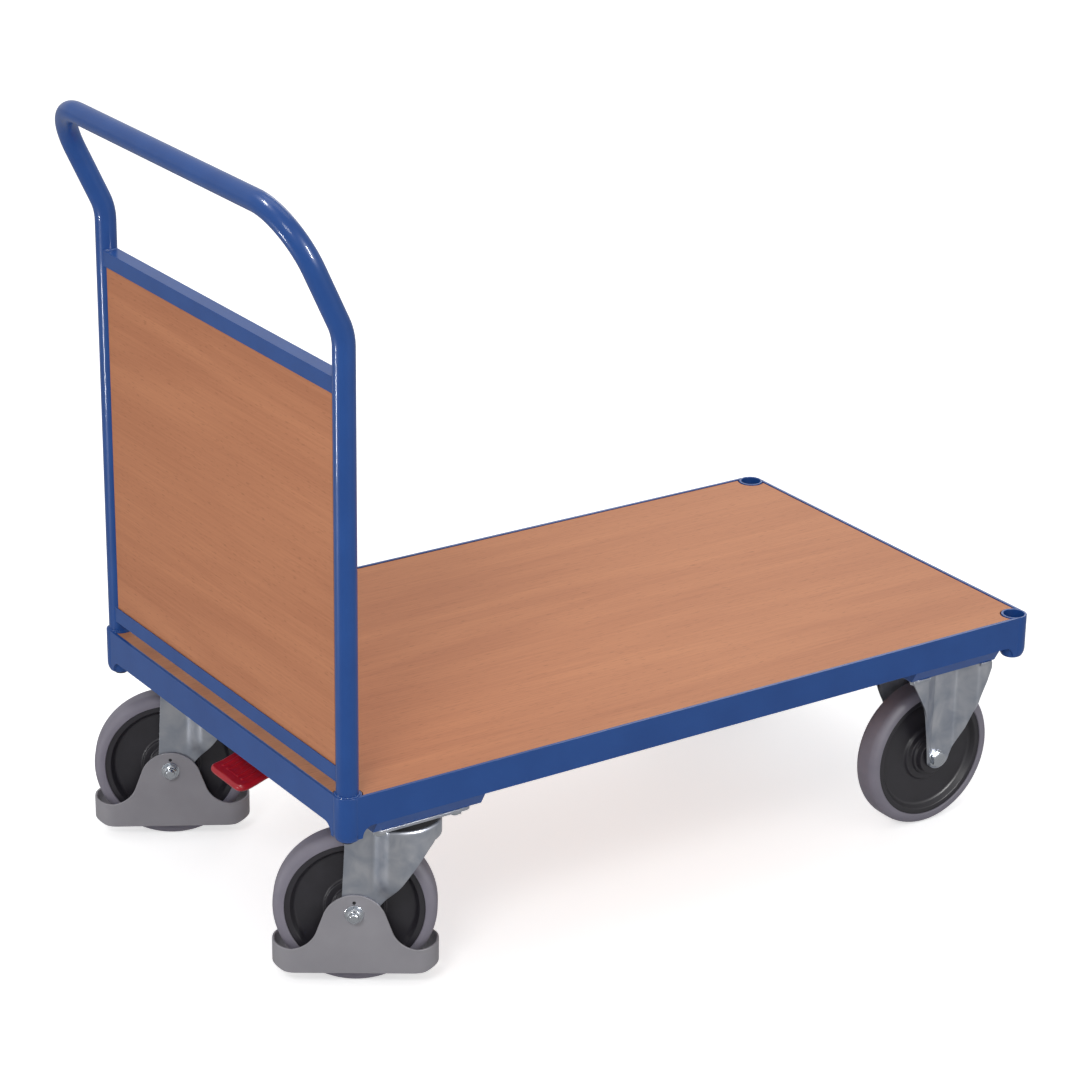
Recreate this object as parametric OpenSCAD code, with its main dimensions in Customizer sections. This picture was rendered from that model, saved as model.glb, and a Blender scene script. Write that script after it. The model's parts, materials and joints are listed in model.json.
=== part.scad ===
// Platform trolley: a welded rail frame with a wooden deck, a bent tube handle with a wooden end
// panel, two fixed casters in front, two swivel casters with foot guards behind, and one central
// brake pedal that blocks both swivel casters.
// Millimetres. +X runs from the handle to the front, +Y to the trolley's left, the floor is z = 0.
// The origin is the middle of the overall box, so the deck's centre lies at (deck_x, deck_y).

/* [Deck frame] */
// Length of the deck frame over its end rails
frame_l = 1052; // [860:2:1400]
// Width of the deck frame over its side rails
frame_w = 610; // [500:2:800]
// Height of the rails
rail_h = 40; // [32:1:60]
// Thickness of the rails
rail_t = 4; // [3:0.5:6]
// Width of the ledge inside the rails that carries the deck board
ledge_w = 22; // [16:1:30]
// Thickness of that ledge
ledge_t = 3; // [2:0.5:4]
// Thickness of the deck board
board_t = 13; // [10:0.5:18]
// How far the rails' top edges stand above the board
rail_lip = 1; // [0.5:0.5:3]
// Gap between the board's edges and the rails
board_gap = 1; // [0.5:0.5:3]
// Spacing of the deck board's screws along the side rails
board_screw_pitch = 260; // [180:10:300]

/* [Corner sockets] */
// Wall of the corner sockets
socket_wall = 3.3; // [2.5:0.1:5]
// How far the corner sockets reach below the rails
socket_drop = 19; // [14:1:30]
// Thickness of a socket's closed bottom
socket_floor = 10; // [6:1:14]
// Height of the rounded bottom edge of a socket
socket_round = 13; // [8:1:14]
// Radius of the flare between a rail's bottom edge and its socket
flare_r = 14; // [8:1:18]

/* [Handle] */
// Outside diameter of the handle tube
post_d = 26.9; // [22:0.1:34]
// Wall of the handle tube
tube_t = 2; // [1.5:0.5:3]
// Height of the bend above the end panel
kink_z = 857; // [840:1:900]
// Angle by which the grip leans back
lean = 25; // [10:1:35]
// Centre-line radius of that bend
kink_r = 70; // [50:5:100]
// Height of the grip bar's centre line
grip_z = 1001.5; // [970:0.5:1200]
// Centre-line radius of the grip's two corners
grip_r = 72; // [50:1:90]
// Thickness of the plug in each foot of the handle tube
foot_plug = 12; // [8:1:20]

/* [End panel] */
// Gap between the deck frame's top and the panel's bottom rail
panel_gap = 14; // [8:1:40]
// Height of the panel's top above the floor
panel_top = 806; // [600:1:815]
// Outside size of the square panel rails
panel_rail = 20; // [18:1:24]
// Wall of the panel rails
panel_rail_t = 1.5; // [1:0.5:2]
// Thickness of the panel board
panel_t = 16; // [10:1:18]

/* [Cross members] */
// How far the cross members hang below the rails
cross_drop = 19; // [16:1:30]
// Sheet thickness of the cross members
cross_t = 3; // [2:0.5:4]
// Width of the rear cross member
rear_cross_w = 151; // [150:1:180]
// Width of the front cross member
front_cross_w = 141; // [140:1:180]
// How far the sloped ends run in from top to bottom
cross_slope = 11; // [6:1:14]

/* [Wheels] */
// Outside diameter of the wheels
wheel_d = 200; // [160:5:250]
// Width of the tyres
tyre_w = 38; // [30:1:50]
// Radius of the tyre's shoulders
shoulder_r = 11; // [6:1:14]
// Height of the tyre above its rim
tyre_h = 14.5; // [12:0.5:18]
// How far the hub stands out on each side of the tyre
hub_out = 7.2; // [4:0.1:10]
// Diameter of the hub
hub_d = 46; // [36:1:56]

/* [Casters] */
// Height of a caster above its wheel's diameter
caster_rise = 35; // [35:1:50]
// Distance of the caster plates' centres from the side rails' outer faces
caster_in = 68.5; // [68:0.5:90]
// Distance of the swivel axes from the frame's rear end
swivel_in = 120.6; // [118:0.2:140]
// Distance of the fixed wheels' axles from the frame's front end
fixed_in = 117; // [112:1:140]
// Trail of the swivel casters
trail = 55; // [40:1:60]
// Resting angle of the left swivel caster
turn_left = -30; // [-180:1:180]
// Resting angle of the right swivel caster
turn_right = -33; // [-180:1:180]
// Length of the caster plates
plate_l = 135; // [125:1:140]
// Width of the caster plates
plate_w = 110; // [100:1:110]
// Thickness of the caster plates
plate_t = 4; // [3:0.5:5]
// Spacing of the plate's bolts along its length
bolt_pitch_l = 105; // [100:1:110]
// Spacing of the plate's bolts across its width
bolt_pitch_w = 76; // [70:1:76]
// Sheet thickness of the forks
fork_t = 3; // [2:0.5:4]
// Radius of the swivel fork's round crown
crown_r = 50; // [44:1:52]
// Height of the ball race between plate and crown
race_h = 12; // [12:0.5:15]
// Diameter of the balls in the swivel race
ball_d = 9; // [7:0.5:9]
// Outside diameter of the kingpin
kingpin_d = 20; // [18:1:26]

/* [Foot guards] */
// How much shorter a foot guard is than its wheel
guard_short = -3; // [-5:1:10]
// Wall of a foot guard
guard_t = 3; // [2:0.5:4]
// Height of a guard's lower edge above the floor
guard_low = 19; // [10:1:25]
// Height of the guard's rim beside the tyre
guard_side_z = 51; // [40:1:55]
// Height of the guard's rim at its ends
guard_end_z = 52; // [50:1:66]
// Radius of the round top that the axle nut holds
guard_top_r = 40; // [30:1:42]

/* [Brake] */
// Diameter of the brake's cross shaft
shaft_d = 14; // [12:1:16]
// Distance from the cross shaft to the plungers' axes
cam_reach = 22; // [18:1:26]
// Diameter of the plungers in the hollow kingpins
plunger_d = 10; // [8:1:12]
// Angle through which the pedal is pressed
pedal_press = 14; // [8:1:16]
// Width of the pedal
pedal_w = 80; // [50:1:110]
// Length of the pedal along the trolley
pedal_l = 58; // [40:1:70]
// Thickness of the pedal
pedal_t = 10; // [8:0.5:14]
// Slope of the pedal, falling to the rear
pedal_slope = 12; // [0:1:20]

/* [Fits] */
// Radial clearance of a pin that turns or slides in its bore
run_fit = 0.08; // [0.02:0.01:0.1]
// Radial clearance of the handle's feet in their sockets
post_fit = 0.25; // [0.1:0.05:0.5]
// Gap between curved or facing surfaces that move past each other
pass_gap = 0.3; // [0.2:0.05:0.5]
// Radial clearance of bolts in their holes
bolt_fit = 0.5; // [0.2:0.1:1]

/* [Hidden] */
$fn = 96;
eps = 0.1;
far = 400;

// Offset of the deck's centre from the middle of the overall box
deck_x = 32;
deck_y = -13.3;

// Frame
half_l = frame_l / 2;
half_w = frame_w / 2;
caster_h = wheel_d + caster_rise;
rail_z = caster_h + cross_drop;
deck_z = rail_z + rail_h;
board_z = deck_z - rail_lip - board_t;
ledge_z = board_z - ledge_t;
socket_r = post_d / 2 + post_fit;
socket_out_r = socket_r + socket_wall;
socket_edge = socket_out_r - 0.6;
socket_x = half_l - socket_edge;
socket_y = half_w - socket_edge;
socket_z = rail_z - socket_drop;
socket_notch_r = socket_out_r + 1.5;

// Threads, heads and nuts
m10_r = 5;
m10_head_r = 16 / sqrt(3);
m10_head_h = 6.4;
m10_nut_h = 8;
m8_r = 4;
m8_head_r = 7;
m8_head_h = 3.6;
washer_r = 10;
washer_t = 1.5;
thread_tip = 2;
// Where the leaning part of the handle laps into the bend, a hair thinner than it
lap = 0.8;
lap_step = 0.2;
screw_r = 2;
screw_head_r = 4;
screw_head_h = 2.5;
screw_bite = 9;

// Casters
wheel_r = wheel_d / 2;
rim_r = wheel_r - tyre_h;
hub_l = tyre_w + 2 * hub_out;
fork_gap = hub_l + 2 * pass_gap;
leg_out = fork_gap / 2 + fork_t;
caster_y = half_w - caster_in;
swivel_x = -half_l + swivel_in;
fixed_x = half_l - fixed_in;
crown_z = caster_h - plate_t - race_h;
crown_h = crown_z - wheel_r;
foot_r = 18;
sleeve_r = 7.5;
bearing_r = 11;
race_r = 32;
race_w = 13;
kingpin_r = kingpin_d / 2;
kingpin_head_r = 17;
kingpin_head_h = 5;
kingpin_rivet_h = 4;
kingpin_way_r = 20;

// Swivel fork outline, along the rolling direction from the wheel's axle
leg_rear_top = 10;
skirt_h = 20.6;
skirt_step = 8;
leg_bend = 21;
leg_bend_end = 46;

// Fixed fork outline
fixed_flat = [-9.7, 28];
fixed_wing = [-38, 47];
fixed_wing_out = 22;
fixed_top = [-61, 66];
fixed_plate_shift = 2.5;

// Foot guard
guard_l = wheel_d - guard_short;
guard_half = guard_l / 2;
guard_out = leg_out + guard_t;
guard_corner_r = 30;
guard_top_z = wheel_r - 15;
guard_flare_r = 36;
guard_flare_u = guard_top_r + guard_flare_r + 4;
guard_tip_u = 14;
guard_tip_z = 4;
guard_eye_r = 2;
guard_eye_z = wheel_r + 15;

// Brake
shaft_r = shaft_d / 2;
shaft_x = swivel_x + cam_reach;
shaft_z = ledge_z - 15;
shaft_end = 16;
cam_r = shaft_r + 5;
cam_w = 16;
cam_tip_r = 5;
plunger_r = plunger_d / 2;
plunger_top = shaft_z - cam_tip_r - pass_gap;
plunger_travel = cam_reach * sin(pedal_press);
shoe_half = 10;
shoe_w = 28;
shoe_top = wheel_r + sqrt(wheel_r * wheel_r - trail * trail) + 16;
shoe_r = wheel_r + plunger_travel * cos(asin((trail - shoe_half) / wheel_r)) + pass_gap;
bracket_t = 4;
bracket_w = 34;
bracket_y = [60, caster_y - 31.5];
arm_w = 22;
arm_t = 8;
slot_gap = 4;
slot_side = 2;
pedal_rear = -half_l + 8;
pedal_z = caster_h - 38;

// Panel
panel_bottom = deck_z + panel_gap;
panel_half = socket_y - post_d / 2 - 0.5;

// Places ------------------------------------------------------------------------------------

// The whole trolley, moved from the deck's centre to the frame of the part
module placed() {
    translate([deck_x, deck_y, 0]) children();
}

// A swivel caster: the swivel axis is the local z axis and the wheel trails along local -x
module at_swivel(side) {
    placed() translate([swivel_x, side * caster_y, 0])
        rotate([0, 0, side > 0 ? turn_left : turn_right]) children();
}

// A swivel caster's plate, which doesn't turn
module at_swivel_plate(side) {
    placed() translate([swivel_x, side * caster_y, 0]) children();
}

// A fixed caster
module at_fixed(side) {
    placed() translate([fixed_x, side * caster_y, 0]) children();
}

// Both fixed casters
module at_both_fixed() {
    for (side = [-1, 1]) at_fixed(side) children();
}

// All four caster plates
module at_all_plates() {
    for (side = [-1, 1], x = [swivel_x, fixed_x + fixed_plate_shift])
        placed() translate([x, side * caster_y, 0]) children();
}

// A wheel's own frame: its axle is the local y axis
module at_axle(back) {
    translate([-back, 0, wheel_r]) children();
}

// The four bolt places of a caster plate
module at_plate_bolts() {
    for (x = [-1, 1], y = [-1, 1])
        translate([x * bolt_pitch_l / 2, y * bolt_pitch_w / 2, 0]) children();
}

// Frame -------------------------------------------------------------------------------------

// Cylinders round all four corner sockets, for coping what meets them
module socket_cuts(r) {
    for (x = [-1, 1], y = [-1, 1])
        translate([x * socket_x, y * socket_y, socket_z - eps]) cylinder(r = r, h = far);
}

// Side view of a rail that ends at two sockets half_span from its middle, flared into them
module rail_outline(half_span) {
    foot = socket_out_r - 6;
    translate([-half_span, 0]) square([2 * half_span, rail_h]);
    for (m = [0, 1]) mirror([m, 0])
        difference() {
            translate([half_span - foot - flare_r, -flare_r]) square([foot + flare_r, flare_r + eps]);
            translate([half_span - foot - flare_r, -flare_r]) circle(flare_r);
        }
}

// A rail along x with its outer face at y = 0 and its ledge towards +y
module rail(half_span, ledge_half) {
    translate([0, rail_t, 0]) rotate([90, 0, 0]) linear_extrude(rail_t) rail_outline(half_span);
    translate([-ledge_half, rail_t - eps, ledge_z - rail_z]) cube([2 * ledge_half, ledge_w + eps, ledge_t]);
}

module side_rail(side) {
    color("royalblue") placed() difference() {
        rotate([0, 0, side > 0 ? 180 : 0]) translate([0, -half_w, rail_z]) rail(socket_x, socket_x);
        socket_cuts(socket_out_r);
        board_screw_places() translate([0, 0, ledge_z - eps]) cylinder(r = screw_r, h = far);
    }
}

module end_rail(side) {
    color("royalblue") placed() difference() {
        rotate([0, 0, side * 90]) translate([0, -half_l, rail_z])
            rail(socket_y, half_w - rail_t - ledge_w);
        socket_cuts(socket_out_r);
        board_screw_places() translate([0, 0, ledge_z - eps]) cylinder(r = screw_r, h = far);
    }
}

// Half section of a socket: a tube with a thick floor and a rounded bottom edge
module socket_section(screw_hole) {
    round_w = socket_round / 2;
    steps = 8;
    edge = [for (i = [0 : steps]) [
        socket_out_r - round_w * (1 - sin(90 * i / steps)),
        socket_z + socket_round * (1 - cos(90 * i / steps))]];
    polygon(concat(
        [[screw_hole, socket_z]], edge,
        [[socket_out_r, deck_z], [socket_r, deck_z], [socket_r, socket_z + socket_floor],
         [screw_hole, socket_z + socket_floor]]));
}

module front_socket(side) {
    color("royalblue") placed() translate([socket_x, side * socket_y, 0])
        rotate_extrude() socket_section(0);
}

module rear_socket(side) {
    color("royalblue") placed() translate([-socket_x, side * socket_y, 0])
        rotate_extrude() socket_section(m8_r + bolt_fit);
}

// A pressed tray across the frame: width w, centred at x = 0, carried by the side rails
module cross_tray(w) {
    side_y = half_w - rail_t;
    outer = [[side_y, ledge_z], [side_y, rail_z], [side_y - cross_slope, caster_h]];
    wall = cross_t * sqrt(pow(cross_slope, 2) + pow(cross_drop, 2)) / cross_drop;
    run_in = cross_slope * (cross_drop - cross_t) / cross_drop;
    inner = [[side_y - cross_t, ledge_z + eps], [side_y - cross_t, rail_z],
             [side_y - wall - run_in, caster_h + cross_t]];
    difference() {
        tray_prism(outer, w);
        tray_prism(inner, w - 2 * cross_t);
    }
}

// A prism along x whose section is the given right half and its mirror image
module tray_prism(half, w) {
    left = [for (i = [len(half) - 1 : -1 : 0]) [-half[i].x, half[i].y]];
    translate([-w / 2, 0, 0]) rotate([90, 0, 90]) linear_extrude(w) polygon(concat(half, left));
}

// Holes for the caster bolts through the tray that carries the casters at x
module tray_bolt_holes(x) {
    for (side = [-1, 1]) translate([x, side * caster_y, caster_h - eps]) at_plate_bolts()
        cylinder(r = m10_r + bolt_fit, h = cross_t + 2 * eps);
}

module front_cross_member() {
    color("royalblue") placed() difference() {
        translate([fixed_x, 0, 0]) cross_tray(front_cross_w);
        tray_bolt_holes(fixed_x + fixed_plate_shift);
    }
}

module rear_cross_member() {
    tray_x = swivel_x + 5;
    slot_l = arm_slot_front - arm_slot_rear;
    color("royalblue") placed() difference() {
        translate([tray_x, 0, 0]) cross_tray(rear_cross_w);
        tray_bolt_holes(swivel_x);
        for (side = [-1, 1]) translate([swivel_x, side * caster_y, caster_h - eps])
            cylinder(r = kingpin_way_r, h = cross_t + 2 * eps);
        translate([arm_slot_rear, -arm_w / 2 - slot_side, caster_h - eps])
            cube([slot_l, arm_w + 2 * slot_side, cross_t + 2 * eps]);
    }
}

// Places of the screws that hold the board from below, along the middle of the ledges
module board_screw_places() {
    in = rail_t + ledge_w / 2;
    for (y = [-1, 1], x = [-1 : 1]) translate([x * board_screw_pitch, y * (half_w - in), 0]) children();
    for (x = [-1, 1], y = [-1, 1])
        translate([x * (half_l - in), y * board_screw_pitch / 2, 0]) children();
}

module deck_board() {
    l = frame_l - 2 * (rail_t + board_gap);
    w = frame_w - 2 * (rail_t + board_gap);
    color("burlywood") placed() difference() {
        translate([-l / 2, -w / 2, board_z]) cube([l, w, board_t]);
        socket_cuts(socket_notch_r);
        board_screw_places() translate([0, 0, board_z - eps]) cylinder(r = screw_r, h = screw_bite + eps);
    }
}

module board_screws() {
    color("silver") placed() board_screw_places() {
        translate([0, 0, ledge_z - screw_head_h]) cylinder(r = screw_head_r, h = screw_head_h);
        translate([0, 0, ledge_z - eps]) cylinder(r = screw_r, h = ledge_t + screw_bite + eps);
    }
}

// Handle and end panel ------------------------------------------------------------------------

// A length rounded to a hundredth, so that the pieces of the bent tube meet exactly
function hundredths(v) = round(v * 100) / 100;

// The solid run of the bent tube at radius r, from the socket floors over the grip
module tube_run(r) {
    bend = hundredths(kink_r * tan(lean / 2));
    slope_l = hundredths((grip_z - kink_z) / cos(lean));
    grip_half = hundredths(socket_y - grip_r);
    foot_z = socket_z + socket_floor;
    thin_r = r - lap_step;
    for (m = [0, 1]) mirror([0, m, 0]) {
        translate([-socket_x, socket_y, foot_z]) cylinder(r = r, h = kink_z - bend - foot_z);
        translate([-socket_x - kink_r, socket_y, kink_z - bend])
            rotate([90, 0, 0]) rotate_extrude(angle = lean) translate([kink_r, 0]) circle(r);
        translate([-socket_x, 0, kink_z]) rotate([0, -lean, 0]) {
            translate([0, socket_y, bend - lap]) cylinder(r = thin_r, h = slope_l - grip_r - bend + lap);
            translate([0, grip_half, slope_l - grip_r])
                rotate([90, 0, 90]) rotate_extrude(angle = 90) translate([grip_r, 0]) circle(thin_r);
        }
    }
    translate([-socket_x, 0, kink_z]) rotate([0, -lean, 0])
        translate([0, grip_half, slope_l]) rotate([90, 0, 0]) cylinder(r = thin_r, h = 2 * grip_half);
}

module handle_tube() {
    foot_z = socket_z + socket_floor;
    inner_r = post_d / 2 - tube_t;
    color("royalblue") placed() {
        difference() {
            tube_run(post_d / 2);
            tube_run(inner_r);
        }
        for (side = [-1, 1]) translate([-socket_x, side * socket_y, foot_z]) difference() {
            cylinder(r = inner_r + tube_t / 2, h = foot_plug);
            translate([0, 0, -eps]) cylinder(r = m8_r, h = foot_plug + 2 * eps);
        }
    }
}

module handle_screws() {
    color("dimgray") placed() for (side = [-1, 1])
        translate([-socket_x, side * socket_y, socket_z - m8_head_h]) {
            cylinder(r = m8_head_r, h = m8_head_h);
            cylinder(r = m8_r, h = m8_head_h + socket_floor + foot_plug);
        }
}

// A square channel between the posts, coped to them, open towards +z
module panel_channel() {
    difference() {
        translate([-panel_rail / 2, -socket_y, 0]) cube([panel_rail, 2 * socket_y, panel_rail]);
        translate([-panel_rail / 2 + panel_rail_t, -socket_y - eps, panel_rail_t])
            cube([panel_rail - 2 * panel_rail_t, 2 * socket_y + 2 * eps, panel_rail]);
        for (side = [-1, 1]) translate([0, side * socket_y, -eps])
            cylinder(r = post_d / 2, h = panel_rail + 2 * eps);
    }
}

module panel_bottom_rail() {
    color("royalblue") placed() translate([-socket_x, 0, panel_bottom]) panel_channel();
}

module panel_top_rail() {
    color("royalblue") placed() translate([-socket_x, 0, panel_top]) mirror([0, 0, 1]) panel_channel();
}

module end_panel() {
    floor_z = panel_bottom + panel_rail_t;
    h = panel_top - panel_rail_t - board_gap - floor_z;
    color("burlywood") placed() translate([-socket_x - panel_t / 2, -panel_half, floor_z])
        cube([panel_t, 2 * panel_half, h]);
}

// Wheels ----------------------------------------------------------------------------------------

// Solid turned about the wheel's axle from a half section of [radius, place along the axle]
module turned() {
    rotate([90, 0, 0]) rotate_extrude() children();
}

module tyre() {
    flat = tyre_w / 2 - shoulder_r;
    color("dimgray") turned() difference() {
        union() {
            translate([rim_r, -tyre_w / 2]) square([tyre_h - shoulder_r, tyre_w]);
            translate([rim_r, -flat]) square([tyre_h, 2 * flat]);
            for (s = [-1, 1]) translate([wheel_r - shoulder_r, s * flat]) circle(shoulder_r);
        }
        translate([0, -tyre_w]) square([rim_r, 2 * tyre_w]);
    }
}

// Dished rim: a flange under the tyre, a thin web and a stepped hub
module rim() {
    web = tyre_w / 2 - 10;
    flange = tyre_w / 2 - 2;
    step_r = hub_d / 2 + 15;
    half = [
        [bearing_r, hub_l / 2], [hub_d / 2, hub_l / 2], [hub_d / 2 + 1, flange + 1],
        [hub_d / 2 + 4, flange], [hub_d / 2 + 5, web + 4], [step_r - 2, web + 4], [step_r, web],
        [rim_r - 12, web], [rim_r - 7, flange], [rim_r, flange]];
    back = [for (i = [len(half) - 1 : -1 : 0]) [half[i].x, -half[i].y]];
    color("darkslategray") turned() polygon(concat(half, back));
}

module hub_bearing() {
    color("slategray") turned() translate([sleeve_r + run_fit, -hub_l / 2])
        square([bearing_r - sleeve_r - run_fit, hub_l]);
}

module axle_sleeve() {
    color("silver") turned() translate([m10_r + run_fit, -fork_gap / 2])
        square([sleeve_r - m10_r - run_fit, fork_gap]);
}

// Bolt along the axle: its head stands at +y outside grip_out, its thread ends past the nut at -y
module axle_bolt(grip_out) {
    head_y = grip_out + washer_t;
    tip_y = head_y + m10_nut_h + thread_tip;
    color("silver") {
        rotate([-90, 0, 0]) translate([0, 0, -tip_y]) cylinder(r = m10_r, h = tip_y + head_y + eps);
        rotate([-90, 0, 0]) translate([0, 0, head_y]) cylinder(r = m10_head_r, h = m10_head_h, $fn = 6);
        washer_at(grip_out);
    }
}

// A washer round the axle, on the +y side, from out to out + washer_t
module washer_at(out) {
    rotate([-90, 0, 0]) translate([0, 0, out]) cylinder(r = washer_r, h = washer_t + eps);
}

// Nut and washer at the -y side
module axle_nut(grip_out) {
    color("silver") rotate([90, 0, 0]) difference() {
        union() {
            translate([0, 0, grip_out]) cylinder(r = washer_r, h = washer_t);
            translate([0, 0, grip_out + washer_t]) cylinder(r = m10_head_r, h = m10_nut_h, $fn = 6);
        }
        translate([0, 0, grip_out - eps]) cylinder(r = m10_r, h = far);
    }
}

// Casters -----------------------------------------------------------------------------------------

// A flat plate with rounded corners, centred, from z up
module rounded_plate(l, w, r, h) {
    translate([-l / 2 + r, -w / 2, 0]) cube([l - 2 * r, w, h]);
    translate([-l / 2, -w / 2 + r, 0]) cube([l, w - 2 * r, h]);
    for (x = [-1, 1], y = [-1, 1]) translate([x * (l / 2 - r), y * (w / 2 - r), 0]) cylinder(r = r, h = h);
}

// A caster's top plate with its four bolt holes
module caster_plate() {
    translate([0, 0, caster_h - plate_t]) difference() {
        rounded_plate(plate_l, plate_w, 10, plate_t);
        at_plate_bolts() translate([0, 0, -eps]) cylinder(r = m10_r + bolt_fit, h = plate_t + 2 * eps);
    }
}

// Half of the ball race, grooved for the balls; up = 1 opens it upwards
module race_ring(up) {
    ring_h = race_h / 2 - 1.5;
    mid = crown_z + race_h / 2;
    rotate_extrude() difference() {
        translate([race_r - race_w / 2, up > 0 ? crown_z - eps : mid + 1.5]) square([race_w, ring_h + eps]);
        translate([race_r, mid]) circle(ball_d / 2 + pass_gap);
    }
}

module swivel_plate() {
    color("lightgray") {
        difference() {
            caster_plate();
            translate([0, 0, caster_h - plate_t - eps]) cylinder(r = kingpin_r, h = far);
        }
        race_ring(-1);
    }
}

// Hollow rivet that carries the fork: a head under the crown and a riveted collar on the plate
module kingpin() {
    head_z = crown_z - fork_t - pass_gap - kingpin_head_h;
    color("silver") difference() {
        union() {
            translate([0, 0, head_z]) cylinder(r = kingpin_head_r, h = kingpin_head_h);
            translate([0, 0, head_z]) cylinder(r = kingpin_r, h = caster_h - head_z + eps);
            translate([0, 0, caster_h]) cylinder(r = kingpin_r + 5, h = kingpin_rivet_h);
        }
        translate([0, 0, head_z - eps]) cylinder(r = plunger_r + run_fit, h = far);
    }
}

module swivel_balls() {
    count = 16;
    color("silver") for (i = [0 : count - 1]) rotate([0, 0, 360 * i / count])
        translate([race_r, 0, crown_z + race_h / 2]) sphere(ball_d / 2);
}

// Where the line from the outside point p enters a circle of radius big round the origin, almost
// touching it: the point lies just inside, so that line and circle cross cleanly
function touch(p, big, side) =
    let (r = big - 0.1, d = norm(p), a = atan2(p.y, p.x) - side * acos(r / d)) [r * cos(a), r * sin(a)];

// Plan of the swivel fork at inset t: narrow at the wheel, bent out to the round crown
module fork_plan(t) {
    out = leg_out - t;
    r = crown_r - t;
    bent = sqrt(r * r - pow(trail - leg_bend_end, 2)) - 0.5;
    rear = foot_r + t + 10;
    polygon([[-rear, -out], [leg_bend, -out], [leg_bend_end, -bent], [leg_bend_end, bent],
             [leg_bend, out], [-rear, out]]);
    translate([trail, 0]) circle(r);
}

// Side view of the swivel fork, from the axle: x along the rolling direction, y up
module swivel_fork_outline() {
    front = trail + crown_r + 1;
    knee = [front - skirt_step - 3, crown_h - skirt_h - 7];
    circle(foot_r);
    polygon(concat(
        [touch([-leg_rear_top, crown_h], foot_r, -1), [-leg_rear_top, crown_h], [front, crown_h],
         [front, crown_h - skirt_h], [front - skirt_step, crown_h - skirt_h - 1], knee],
        [touch(knee, foot_r, 1)]));
}

module swivel_fork() {
    color("silver") at_axle(trail) difference() {
        union() {
            intersection() {
                translate([0, far / 2, 0]) rotate([90, 0, 0]) linear_extrude(far) swivel_fork_outline();
                union() {
                    translate([0, 0, -foot_r - 1]) linear_extrude(crown_h + foot_r + 1) difference() {
                        fork_plan(0);
                        fork_plan(fork_t);
                    }
                    translate([0, 0, crown_h - fork_t]) linear_extrude(fork_t) fork_plan(0);
                }
            }
            translate([trail, 0, -wheel_r]) race_ring(1);
        }
        translate([trail, 0, 0]) cylinder(r = kingpin_r + run_fit, h = far);
        rotate([90, 0, 0]) translate([0, 0, -far / 2]) cylinder(r = m10_r + run_fit, h = far);
        for (m = [0, 1]) mirror([0, m, 0])
            translate([0, leg_out + far, guard_top_z - wheel_r]) rotate([90, 0, 0])
                cylinder(r = guard_top_r + pass_gap, h = far);
    }
}

// Plan of one side of the fixed fork at inset t: a flat panel with wings that flare outwards
module fixed_fork_plan(t) {
    out = leg_out - t;
    wing_out = out + fixed_wing_out;
    polygon([[fixed_top[0] - 9, 0], [fixed_top[0] - 9, wing_out], [fixed_wing[0], wing_out],
             [fixed_flat[0], out], [fixed_flat[1], out], [fixed_wing[1], wing_out],
             [fixed_top[1] + 9, wing_out], [fixed_top[1] + 9, 0]]);
}

// Side view of the fixed fork: a rounded foot that widens to the plate
module fixed_fork_outline() {
    top = caster_h - plate_t - wheel_r;
    rear_knee = [fixed_wing[0], top * 0.66];
    front_knee = [fixed_wing[1], top * 0.6];
    circle(foot_r);
    polygon([touch(front_knee, foot_r, 1), front_knee, [fixed_top[1], top], [fixed_top[0], top],
             rear_knee, touch(rear_knee, foot_r, -1)]);
}

// The plate of a fixed caster, open on both sides where the fork's sheet is bent down out of it
module fixed_plate() {
    out = leg_out;
    wing_out = leg_out + fixed_wing_out;
    difference() {
        translate([fixed_plate_shift, 0, 0]) caster_plate();
        for (m = [0, 1]) mirror([0, m, 0]) translate([0, 0, caster_h - plate_t - eps])
            linear_extrude(plate_t + 2 * eps)
                polygon([[fixed_wing[0], plate_w], [fixed_wing[0], wing_out], [fixed_flat[0], out],
                         [fixed_flat[1], out], [fixed_wing[1], wing_out], [fixed_wing[1], plate_w]]);
    }
}

module fixed_fork() {
    h = caster_h - plate_t - wheel_r;
    color("silver") difference() {
        union() {
            fixed_plate();
            at_axle(0) intersection() {
                translate([0, far / 2, 0]) rotate([90, 0, 0]) linear_extrude(far) fixed_fork_outline();
                translate([0, 0, -foot_r - 1]) linear_extrude(h + foot_r + 1 + eps)
                    for (m = [0, 1]) mirror([0, m]) difference() {
                        fixed_fork_plan(0);
                        fixed_fork_plan(fork_t);
                    }
            }
        }
        at_axle(0) rotate([90, 0, 0]) translate([0, 0, -far / 2]) cylinder(r = m10_r + run_fit, h = far);
    }
}

module caster_plate_bolts() {
    head_z = caster_h + cross_t;
    tip_z = caster_h - plate_t - m10_nut_h - thread_tip;
    color("silver") at_all_plates() at_plate_bolts() {
        translate([0, 0, head_z]) cylinder(r = m10_head_r, h = m10_head_h, $fn = 6);
        translate([0, 0, tip_z]) cylinder(r = m10_r, h = head_z - tip_z + eps);
    }
}

module caster_plate_nuts() {
    nut_z = caster_h - plate_t - m10_nut_h;
    color("silver") at_all_plates() at_plate_bolts() translate([0, 0, nut_z]) difference() {
        cylinder(r = m10_head_r, h = m10_nut_h, $fn = 6);
        translate([0, 0, -eps]) cylinder(r = m10_r, h = far);
    }
}

// Foot guards -------------------------------------------------------------------------------------

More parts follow.
